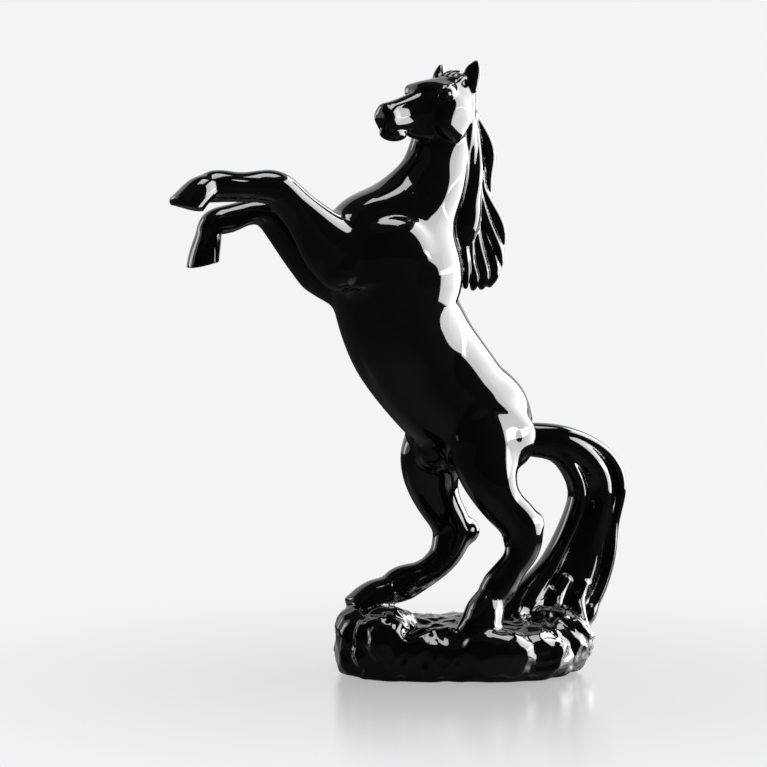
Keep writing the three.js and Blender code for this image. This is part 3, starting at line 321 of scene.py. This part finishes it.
LOCKS = [
    [(3.8, -8, 372, 2.4, 3), (3.9, -5, 357.6, 3.2, 4), (2.1, -2.5, 338.6, 3.4, 4.5),
     (-1.7, -3, 319.6, 3.4, 4.5), (-5.6, -6, 300.6, 3.2, 4), (-10.7, -10, 288.6, 1.2, 1.6)],
    [(7.9, 2, 348.2, 2, 3), (8.6, 3, 329.2, 3.6, 5), (6.1, 2, 310.1, 5.4, 6.5),
     (1, 0, 294.2, 5.6, 6.5), (-3.6, -3, 280.9, 3.4, 4.4), (-4.8, -4, 274.5, 1.2, 1.8)],
    [(3.3, -1, 371.6, 2, 3), (5.7, 3, 357.7, 2.2, 4), (9.3, 6, 338.7, 2.4, 4),
     (11.7, 8, 322.8, 2.2, 4), (13.3, 9, 307.5, 1.2, 2)],
    [(6.4, 6, 361, 1.6, 4), (12, 10, 348.3, 3.8, 5), (16.3, 12, 334.3, 4.8, 5),
     (16, 13, 319, 3.6, 4.5), (17.6, 13, 305.5, 1, 1.5)],
    [(12.1, 10, 313.2, 2, 4), (16.7, 12, 301.7, 3.6, 5), (22.5, 14, 289.5, 4.2, 5),
     (25.5, 14, 278, 2.6, 3.5), (24.5, 14, 270.2, 1, 1.5)],
    [(9.5, 9, 311.3, 3, 5), (14.1, 11, 290.8, 4.4, 5), (19.9, 12, 276.7, 4.4, 5),
     (23.2, 12, 265.8, 3.4, 4), (22.9, 12, 259.4, 1.6, 2)],
    [(8.9, 9, 297.3, 2.4, 4), (12.8, 10, 280.6, 4, 5), (18, 10.5, 266.5, 4.6, 5),
     (19.3, 10, 255.6, 3.8, 4), (16.7, 9, 248.9, 1.8, 2.2)],
    [(7.5, 7, 294.1, 2.4, 4), (8.2, 7, 276.8, 4.4, 5.5), (11.5, 7, 262.7, 4.6, 5),
     (12.8, 7, 252.5, 3.8, 4), (11.5, 7, 247.4, 2, 2.2)],
    [(5.5, 4, 290.9, 2.4, 4), (3.7, 4, 274.3, 4, 5), (5, 4, 260.3, 4, 4.5),
     (6.9, 4, 252, 3.4, 3.6), (6.3, 4, 247.2, 2, 2.2)],
    [(0.3, 0, 287.2, 2.2, 3.5), (0.4, 0, 271.9, 3, 4), (1.3, 0, 259.1, 3.4, 3.8),
     (1.4, 0, 248, 1.6, 1.8)],
    [(-8.8, -9, 286.1, 1.8, 2.4), (-5.6, -7, 273.3, 2.6, 3.4), (-3, -6, 260.6, 2.6, 3.4),
     (-1.6, -5, 248.5, 1, 1.2)],
]

add(Limb([
    (1.7, -1, 374.7, 4, 4), (2.8, 1, 357.7, 5, 6), (4.1, 3, 338.7, 5.5, 8), (2.9, 4, 319.6, 7, 9),
    (1.7, 3, 300.5, 9.5, 9), (-1.5, 1, 281.4, 8.5, 8), (-4.1, -1, 270.6, 3, 4)], ALONG_X), 5)
for lock in LOCKS:
    add(Limb(lock, ALONG_X), 2.2)


# The tail: three thick strands that arch out behind and fall to the rock, where they spread.
# It is the third support of the horse.

TAIL_LEFT = left_of(20)

STRANDS = [
    [(44.4, 30, 152.1, 8, 7), (61.6, 36, 152.9, 9, 4.5), (77.8, 43, 147.7, 10, 4.5),
     (92, 49, 138.6, 10, 4.6), (101, 53, 126.3, 10, 4.6), (103.1, 54, 110.9, 10, 4.2),
     (98.4, 52, 93.3, 10, 5.4), (97, 49, 74.4, 10, 4.0), (92.7, 44, 57.8, 10, 4.4),
     (84.4, 36, 40.4, 11, 5.4), (73.2, 24, 21.1, 12, 7)],
    [(44.4, 30, 147.5, 9, 8.5), (64.3, 37, 144.9, 11.5, 9.4), (80.5, 43, 134.5, 12.5, 9.4),
     (89.3, 47, 119.6, 12.5, 9), (88.8, 47, 102.4, 12.5, 8.4), (84, 44, 86.9, 12, 9),
     (80.7, 42, 72, 12, 12.5), (75.2, 37, 54.8, 12.5, 14), (69.7, 32, 35.7, 13, 15),
     (65.6, 28, 19.2, 13, 15)],
    [(45.7, 30, 143.6, 7, 7), (61.6, 35, 138.6, 9, 6.4), (71.7, 38.5, 126.4, 9.5, 5.8),
     (76.1, 40, 111.1, 9.5, 5.6), (72.8, 39, 96.7, 9.5, 5.8), (64.4, 34, 79.6, 9.5, 5.4),
     (55.6, 28, 63.9, 9.5, 7), (46.2, 21, 51.7, 10.5, 9.6), (38.1, 14, 39.7, 12, 13),
     (32.1, 8, 23.6, 14, 18)],
]

SPREAD = [
    [(67.8, 24, 56.6, 4, 4), (62.1, 15, 44.7, 4, 4), (62.8, 3, 34.8, 4, 3.8),
     (69.7, -10, 26.4, 3.8, 3.6), (77.8, -14, 18, 3.2, 3)],
    [(79.2, 28, 53.4, 4, 4), (76.1, 20, 41.4, 4, 4), (78.1, 10, 31.8, 4, 3.6),
     (82.1, 2, 22.6, 3.2, 3.2)],
    [(55.9, 20, 50.6, 4, 4), (48.3, 10, 38.9, 4, 4), (50.1, -6, 29, 4, 3.8),
     (59.7, -18, 20.6, 3.8, 3.6), (69.8, -20, 11.2, 3, 3)],
    [(43.8, 12, 46.5, 3.8, 3.8), (35.6, 0, 37.2, 3.8, 3.8), (38.7, -16, 28.6, 3.8, 3.6),
     (48.4, -27, 20.1, 3.4, 3.4), (56.5, -30, 10.3, 2.6, 2.6)],
]

add(Limb([
    (54.2, 31, 146.1, 7.5, 8), (70.9, 38, 139.6, 9, 8.5), (83.2, 44, 129.2, 9.5, 10.5),
    (88.7, 47, 115, 9.5, 13), (89.5, 47, 99.1, 9.5, 12), (84.7, 44, 86.3, 9.5, 14),
    (81.3, 42, 73.3, 9.5, 16), (74.5, 37, 58.1, 10, 19.5), (65.8, 32, 44.3, 10.5, 23),
    (59, 28, 29.7, 11, 26)], TAIL_LEFT), 4)
for strand in STRANDS:
    add(Limb(strand, TAIL_LEFT), 3.2)


# The rock under the hooves: one broad boulder with smaller ones that break its outline.
# It is left rough from the mould, with ridges and clefts, but shines like the rest.

ALONG_Y = np.array([0.0, 1.0, 0.0])
GOLDEN_TURN = 2.399963                      # spreads the ridges' directions evenly


class Crag:
    """A boulder whose surface is broken by sharp ridges: three broad ones and three finer ones."""

    def __init__(self, boulder, ridge, wave, start):
        self.boulder, self.ridge = boulder, ridge
        self.low, self.high = boulder.low - ridge, boulder.high + ridge
        self.ridges = []
        for i in range(6):
            rate, share = (1 / wave, 0.215) if i < 3 else (1.9 / wave, 0.118)
            phase = 1.3 * start + 1.7 * i
            self.ridges.append((self.way(start, i), self.way(start, i + 7), rate, share, phase))

    @staticmethod
    def way(start, i):
        rise = ((i * 0.618 + start * 0.37) % 1) * 1.6 - 0.8
        flat = np.sqrt(1 - rise * rise)
        turn = GOLDEN_TURN * (i + start)
        return np.array([np.cos(turn) * flat, np.sin(turn) * flat, rise])

    def __call__(self, points):
        crest = 0
        for ahead, across, rate, share, phase in self.ridges:
            wander = 0.9 * np.sin(3.1 * rate * (points @ across) + phase)
            crest = crest + share * (1 - np.abs(np.sin(np.pi * rate * (points @ ahead) + wander + phase)))
        return self.boulder(points) - self.ridge * (crest - 0.45)


add(Crag(Mound((-83, 1, 14), (73, 1, 14), 96, 44, ALONG_Y, 3), 5, 26, 3), 4)
add(Crag(Mound((-71, -10, 22.5), (-27.5, -20, 21.5), 60, 46, ALONG_Y, 2.4), 5, 20, 5), 4)
add(Crag(Mound((-81, -4, 24), (-54, -8, 28), 50, 36, ALONG_Y, 2.4), 4, 20, 11), 4)
add(Crag(Mound((-4, -40, 19.5), (44.5, -36, 14), 30, 36, ALONG_Y, 2.2), 2, 30, 7), 3)
add(Crag(Mound((37, 3, 21), (78.5, 20, 18), 70, 46, ALONG_Y, 2.2), 5, 18, 9), 4)
add(Mound((-5.8, -34, 31.4), (24.1, -30, 32), 26, 20, ALONG_Y), 4)
for lock in SPREAD:
    add(Limb(lock, TAIL_LEFT), 3)


# The skin of the casting: all the forms above melted into one closed surface, flat underneath
# with a softened edge. It stands for the faceted CAD solid of the same form.

SKIN_STEP = 2.4      # distance between the skin's points
UNDERSIDE_EDGE = 3.0
FAR = 60.0                                  # stands for any place that is far outside
ROCK_TOP = 46                               # nothing of the rock stands higher
RELIEF_SINK = 0.2                           # keeps the relief from making the rock larger


def blended(a, b, soft):
    near = np.maximum(soft - np.abs(a - b), 0) / soft
    return np.minimum(a, b) - near ** 3 * soft / 6


def casting(points):
    """How far places lie outside the whole casting."""
    value = np.full(len(points), FAR)
    for shape, soft, sign in forms:
        reach = soft + (10 if sign > 0 else 3)
        near = ((points > shape.low - reach) & (points < shape.high + reach)).all(1)
        i = np.flatnonzero(near)
        if len(i):
            value[i] = sign * blended(sign * value[i], shape(points[i]), soft)
    return -blended(-value, points[:, 2], UNDERSIDE_EDGE)


def slopes(points, step=0.25):
    rises = [casting(points + way) - casting(points - way) for way in np.eye(3) * step]
    return np.stack(rises, 1) / (2 * step)


def skin(step, coarse=4):
    """Points and four-sided faces where the casting ends, on a grid with this step."""
    low = np.minimum.reduce([shape.low for shape, _, _ in forms]) - 2 * step
    high = np.maximum.reduce([shape.high for shape, _, _ in forms]) + 2 * step
    low[2] = -2.5 * step
    blocks = np.ceil((high - low) / (step * coarse)).astype(int)
    count = blocks * coarse + 1
    ways = [low[k] + step * coarse * np.arange(blocks[k] + 1) for k in range(3)]
    corners = np.stack(np.meshgrid(*ways, indexing="ij"), -1).reshape(-1, 3)
    rough = casting(corners).reshape(blocks + 1)
    eight = [(i, j, k) for i in (0, 1) for j in (0, 1) for k in (0, 1)]

    def shifted(grid, i, j, k):
        a, b, c = np.array(grid.shape) - 1
        return grid[i:a + i, j:b + j, k:c + k]

    ends = [shifted(rough, *corner) for corner in eight]
    block = (np.minimum.reduce(ends) < step * coarse) & (np.maximum.reduce(ends) > -step * coarse)
    fine = np.zeros(count, bool)
    for i, j, k in np.argwhere(block) * coarse:
        fine[i:i + coarse + 1, j:j + coarse + 1, k:k + coarse + 1] = True
    values = rough
    for k in range(3):
        values = np.repeat(values, coarse, axis=k)
    values = values[tuple(slice(0, n) for n in count)]
    spots = np.argwhere(fine)
    values[fine] = casting(low + spots * step)
    inside = values < 0
    held = sum(shifted(inside.astype(np.int8), *corner) for corner in eight)
    live = (held > 0) & (held < 8)
    cells = np.argwhere(live)
    number = np.full(live.shape, -1)
    number[live] = np.arange(len(cells))
    at = [values[tuple((cells + corner).T)] for corner in eight]
    total = np.zeros((len(cells), 3))
    hits = np.zeros(len(cells))
    for a in range(8):
        for b in range(a + 1, 8):
            start, end = np.array(eight[a]), np.array(eight[b])
            if np.abs(end - start).sum() != 1:
                continue
            crossed = (at[a] < 0) != (at[b] < 0)
            share = np.where(crossed, at[a] / np.where(crossed, at[a] - at[b], 1), 0)
            total += np.where(crossed[:, None], start + share[:, None] * (end - start), 0)
            hits += crossed
    points = low + (cells + total / hits[:, None]) * step
    faces = []
    for k in range(3):
        u, w = (k + 1) % 3, (k + 2) % 3
        first = np.take(inside, range(count[k] - 1), k)
        second = np.take(inside, range(1, count[k]), k)
        edges = np.argwhere(first != second)
        edges = edges[(edges[:, u] > 0) & (edges[:, w] > 0)
                      & (edges[:, u] < count[u] - 1) & (edges[:, w] < count[w] - 1)]
        turned = ~first[tuple(edges.T)]
        ring = []
        for back_u, back_w in ((1, 1), (0, 1), (0, 0), (1, 0)):
            cell = edges.copy()
            cell[:, u] -= back_u
            cell[:, w] -= back_w
            ring.append(number[tuple(cell.T)])
        ring = np.stack(ring, 1)
        ring[turned] = ring[turned][:, ::-1]
        faces.append(ring)
    return points, np.vstack(faces)


def detailed(place):
    """Whether a place is carved finely: head, mane, tail, rock and the front hooves."""
    x, y, z = place.T
    return (z < ROCK_TOP) | ((z > 335) & (x < 12)) | ((z > 245) & (x > -12)) | (x > 44) | (x < -154)


def with_detail(points, faces):
    """Parts each face in four where the carving is fine; its neighbours take the new points in."""
    fine = detailed(points[faces].mean(1))
    ends = np.stack([faces, np.roll(faces, -1, 1)], 2)
    keys = np.sort(ends, 2) @ np.array([len(points), 1])
    split, number = np.unique(keys[fine], return_inverse=True)
    halves = np.stack([split // len(points), split % len(points)], 1)
    middles = len(points) + number.reshape(-1, 4)
    centres = len(points) + len(split) + np.arange(fine.sum())
    moved = np.vstack([points, points[halves].mean(1), points[faces[fine]].mean(1)])
    corner = faces[fine]
    made = [np.stack([corner[:, k], middles[:, k], centres, middles[:, k - 1]], 1) for k in range(4)]
    small = np.vstack(made).tolist()
    place = np.searchsorted(split, keys[~fine]).clip(0, len(split) - 1)
    found = split[place] == keys[~fine]
    for corners, marks, has in zip(faces[~fine].tolist(), place.tolist(), found.tolist()):
        ring = []
        for k in range(4):
            ring.append(corners[k])
            if has[k]:
                ring.append(len(points) + marks[k])
        small.append(ring)
    return moved, small


def settled(points, step, turns=2):
    """Moves places onto the surface of the casting, each along its own slope."""
    for _ in range(turns):
        slope = slopes(points)
        move = -(casting(points) / np.maximum((slope * slope).sum(1), 0.05))[:, None] * slope
        length = np.linalg.norm(move, axis=1, keepdims=True)
        points = points + move * np.minimum(1, 0.5 * step / np.maximum(length, 1e-9))
    return points


def rock_relief(points):
    """How far the mould's chipped stone stands out of the plain rock, in millimetres."""
    x, y, z = points.T
    left = 1 / (1 + np.exp((x + 14) / 6))
    right = 1 / (1 + np.exp((38 - x) / 6))
    top = 1 / (1 + np.exp((27 - z) / 3))
    low = 1 / (1 + np.exp((z - 21) / 2.5)) * np.clip((z - 3) / 5, 0, 1)
    # Crinkled ripples on top, strongest at the left.
    bent = x + 3.5 * np.sin(z / 5.5 + y / 11) + 2.0 * np.sin(y / 6.5 + 1.0)
    ripples = np.sin(bent / 1.9) * np.sin((y + 0.5 * x) / 3.4 + 1.5 * np.sin(x / 9))
    # Upright flutes along the lower left edge.
    flutes = np.abs(np.sin((x * 0.9 - y * 0.45) / 4.2 + 0.8 * np.sin(z / 6 + x / 13))) - 0.6
    # Swirls where the tail runs into the rock.
    around = np.arctan2(y, x - 35)
    swirls = np.sin(np.hypot(x - 52, (z - 20) * 1.6) / 2.2 + 2.5 * around + np.sin(z / 4))
    depth = 0.55 * ripples * top * (0.35 + 0.65 * left) + 0.6 * flutes * low * left
    depth = depth + 0.5 * swirls * right
    return depth * np.clip((ROCK_TOP - z) / 8, 0, 1) * np.clip((z - 2) / 4, 0, 1)


points, faces = skin(SKIN_STEP)
points = settled(points, SKIN_STEP, 1)
points, faces = with_detail(points, faces)
points = settled(points, SKIN_STEP / 2)
normals = unit(slopes(points) + 1e-12)
stone = points[:, 2] < ROCK_TOP
points[stone] += normals[stone] * (rock_relief(points[stone]) - RELIEF_SINK)[:, None]
mesh = bpy.data.meshes.new("rearing_horse_skin")
mesh.from_pydata((points / 1000).tolist(), [], [list(face) for face in faces])
mesh.validate()
mesh.polygons.foreach_set("use_smooth", np.ones(len(mesh.polygons), bool))
if len(mesh.vertices) == len(normals):
    relief_normals = np.zeros(len(points) * 3)
    mesh.vertices.foreach_get("normal", relief_normals)
    normals[stone] = relief_normals.reshape(-1, 3)[stone]
    mesh.normals_split_custom_set_from_vertices(normals.tolist())
horse = bpy.data.objects.new("rearing_horse_crystal", mesh)
bpy.context.collection.objects.link(horse)
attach(horse, "root")
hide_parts("rearing_horse")


# Black crystal: lead glass coloured so deep that no light comes through, poured hot into a mould.
# It keeps the faint waves of the mould under its polish, which is a little duller in places.

crystal = bpy.data.materials.new("black_crystal_polished")
crystal.use_nodes = True
nodes, links = crystal.node_tree.nodes, crystal.node_tree.links
shader = nodes["Principled BSDF"]
shader.inputs["IOR"].default_value = 1.56


def node(kind, place, **values):
    made = nodes.new(kind)
    made.location = place
    for name, value in values.items():
        made.inputs[name.replace("_", " ")].default_value = value
    return made


where = node("ShaderNodeTexCoord", (-1300, 0))
smoke = node("ShaderNodeTexNoise", (-1000, 200), Scale=14.0, Detail=3.0, Roughness=0.5)
smoke_tint = node("ShaderNodeMixRGB", (-500, 200))
smoke_tint.inputs["Color1"].default_value = (0.0008, 0.0008, 0.0011, 1)
smoke_tint.inputs["Color2"].default_value = (0.0022, 0.0022, 0.0028, 1)
links.new(where.outputs["Object"], smoke.inputs["Vector"])
links.new(smoke.outputs["Fac"], smoke_tint.inputs["Fac"])
links.new(smoke_tint.outputs["Color"], shader.inputs["Base Color"])
polish = node("ShaderNodeTexNoise", (-1000, -100), Scale=26.0, Detail=4.0, Roughness=0.6)
polish_range = node("ShaderNodeMapRange", (-500, -100))
polish_range.inputs["To Min"].default_value = 0.02
polish_range.inputs["To Max"].default_value = 0.055
links.new(where.outputs["Object"], polish.inputs["Vector"])
links.new(polish.outputs["Fac"], polish_range.inputs["Value"])
links.new(polish_range.outputs["Result"], shader.inputs["Roughness"])
waves = node("ShaderNodeTexNoise", (-1000, -400), Scale=22.0, Detail=1.0, Roughness=0.3)
ripple = node("ShaderNodeBump", (-500, -400), Strength=0.06, Distance=0.004)
links.new(where.outputs["Object"], waves.inputs["Vector"])
links.new(waves.outputs["Fac"], ripple.inputs["Height"])
links.new(ripple.outputs["Normal"], shader.inputs["Normal"])
mesh.materials.append(crystal)


# The studio: a round white table that curves up into a pale wall on all sides.
# Paper that glows evenly, save next to the rock, where the table glows darker as a painted shade and is a
# little glossy, with black flags toward the horse.

FLOOR_END = 0.01                            # height below which the table counts as floor


def table_mesh():
    """A floor turned about the middle, which bends up into a wall."""
    floor, bend, height, around = 2.6, 1.2, 4.2, 96
    profile = [(0.35, 0.0), (1.0, 0.0), (floor, 0.0)]
    for i in range(1, 11):
        angle = np.pi / 2 * i / 10
        profile.append((floor + bend * np.sin(angle), bend * (1 - np.cos(angle))))
    profile.append((floor + bend, height))
    spots = [(0.0, 0.0, 0.0)]
    for radius, z in profile:
        for j in range(around):
            angle = 2 * np.pi * j / around
            spots.append((radius * np.cos(angle), radius * np.sin(angle), z))
    faces = [(0, 1 + j, 1 + (j + 1) % around) for j in range(around)]
    for i in range(len(profile) - 1):
        ring = 1 + i * around
        for j in range(around):
            after = (j + 1) % around
            faces.append((ring + j, ring + around + j, ring + around + after, ring + after))
    made = bpy.data.meshes.new("studio_table")
    made.from_pydata(spots, [], faces)
    made.polygons.foreach_set("use_smooth", np.ones(len(faces), bool))
    return made


BACKDROP = 0.925                            # how bright the paper round the table is
# Next to the rock the table glows darker, a painted shade round the base; together with the real
# reflection in its gloss this makes the dark pool under the rock.
NEAR_SHADED_GLOW = 0.44                            # how bright the table is by itself next to the rock
# The painted shade round the rock fades out between these distances as well.
SHEEN_AND_SHADE_FADE = (0.04, 0.44)                  # distances between which its sheen fades away
PAPER_TINT = (0.965, 0.98, 1.0, 1)


def glow_of(tree, shown, mirrored):
    """Evenly lit paper, shown darker in polished things, as black flags do in a studio."""
    ray = tree.nodes.new("ShaderNodeLightPath")
    level = tree.nodes.new("ShaderNodeMapRange")
    level.inputs["To Min"].default_value = shown
    level.inputs["To Max"].default_value = mirrored
    paper = tree.nodes.new("ShaderNodeEmission")
    paper.inputs["Color"].default_value = PAPER_TINT
    tree.links.new(ray.outputs["Is Glossy Ray"], level.inputs["Value"])
    tree.links.new(level.outputs["Result"], paper.inputs["Strength"])
    return paper.outputs["Emission"]


def studio_paper(name, mirrored):
    """Paper of the wall; mirrored is how bright polished things show it."""
    made = bpy.data.materials.new(name)
    made.use_nodes = True
    tree = made.node_tree
    tree.nodes.remove(tree.nodes["Principled BSDF"])
    shown = glow_of(tree, BACKDROP, mirrored)
    tree.links.new(shown, tree.nodes["Material Output"].inputs["Surface"])
    return made


def studio_floor():
    """The table's paper: glossy round the rock, where it also glows darker as a painted shade, and plain
    farther out.
    """
    made = bpy.data.materials.new("studio_floor")
    made.use_nodes = True
    tree = made.node_tree
    gloss = tree.nodes["Principled BSDF"]
    gloss.inputs["Base Color"].default_value = (0.04, 0.04, 0.04, 1)
    gloss.inputs["Roughness"].default_value = 0.2
    place = tree.nodes.new("ShaderNodeNewGeometry")
    away = tree.nodes.new("ShaderNodeVectorMath")
    away.operation = "LENGTH"
    fade = tree.nodes.new("ShaderNodeMapRange")
    fade.interpolation_type = "SMOOTHSTEP"
    fade.inputs["From Min"].default_value, fade.inputs["From Max"].default_value = SHEEN_AND_SHADE_FADE
    near = tree.nodes.new("ShaderNodeAddShader")
    both = tree.nodes.new("ShaderNodeMixShader")
    tree.links.new(place.outputs["Position"], away.inputs[0])
    tree.links.new(away.outputs["Value"], fade.inputs["Value"])
    tree.links.new(gloss.outputs["BSDF"], near.inputs[0])
    # The table's own glow next to the rock, lowered as a painted shade.
    tree.links.new(glow_of(tree, NEAR_SHADED_GLOW, 0.03), near.inputs[1])
    tree.links.new(fade.outputs["Result"], both.inputs[0])
    tree.links.new(near.outputs["Shader"], both.inputs[1])
    tree.links.new(glow_of(tree, BACKDROP, 0.04), both.inputs[2])
    tree.links.new(both.outputs["Shader"], tree.nodes["Material Output"].inputs["Surface"])
    return made


table = bpy.data.objects.new("studio_table", table_mesh())
bpy.context.collection.objects.link(table)
table.data.materials.append(studio_floor())
table.data.materials.append(studio_paper("studio_wall", 0.8))
table.data.materials.append(studio_paper("studio_drape", 0.01))
for face in table.data.polygons:
    face.material_index = 0 if face.center.z < FLOOR_END else 1 if face.center.y > 0 else 2

world = bpy.data.worlds.new("studio_air")
world.use_nodes = True
world.node_tree.nodes["Background"].inputs["Color"].default_value = (0.95, 0.97, 1.0, 1)
world.node_tree.nodes["Background"].inputs["Strength"].default_value = 0.05
bpy.context.scene.world = world
bpy.context.scene.view_settings.view_transform = "Standard"


HORSE_MIDDLE = (0, 0, 0.25)


def soft_box(name, around, rise, distance, size, glow):
    """Lamp box that looks at the horse; around turns from the camera's side toward the right."""
    turn, lift = np.radians(around), np.radians(rise)
    way = Vector((np.sin(turn) * np.cos(lift), -np.cos(turn) * np.cos(lift), np.sin(lift)))
    light = bpy.data.lights.new(name, "AREA")
    light.shape = "RECTANGLE"
    light.size, light.size_y = size
    light.energy = glow * np.pi * size[0] * size[1]
    made = bpy.data.objects.new(name, light)
    made.location = Vector(HORSE_MIDDLE) + distance * way
    made.rotation_euler = (-way).to_track_quat("-Z", "Y").to_euler()
    made.visible_camera = False
    bpy.context.collection.objects.link(made)


soft_box("light_right_low", 112, -3.5, 0.95, (1.15, 0.38), 10.0)
soft_box("light_right_high", 112, 25, 1.6, (2.2, 1.25), 10.0)
soft_box("light_top", 81, 76, 1.7, (0.8, 0.9), 8.0)
soft_box("light_left", 245, 14, 1.7, (0.4, 1.2), 4.0)


# The camera: a long lens that stands low in front, at the height of the horse's middle,
# and looks down a little, as the photographer did.

CAMERA_AIM = Vector((-0.051, 0, 0.1865))
CAMERA_DISTANCE = 1.9
CAMERA_RISE = np.radians(4)

camera_data = bpy.data.cameras.new("camera")
camera_data.sensor_width = 36
camera_data.lens = 139.3
camera = bpy.data.objects.new("camera", camera_data)
sight = Vector((0, -np.cos(CAMERA_RISE), np.sin(CAMERA_RISE)))
camera.location = CAMERA_AIM + CAMERA_DISTANCE * sight
camera.rotation_euler = (-sight).to_track_quat("-Z", "Y").to_euler()
bpy.context.collection.objects.link(camera)
bpy.context.scene.camera = camera
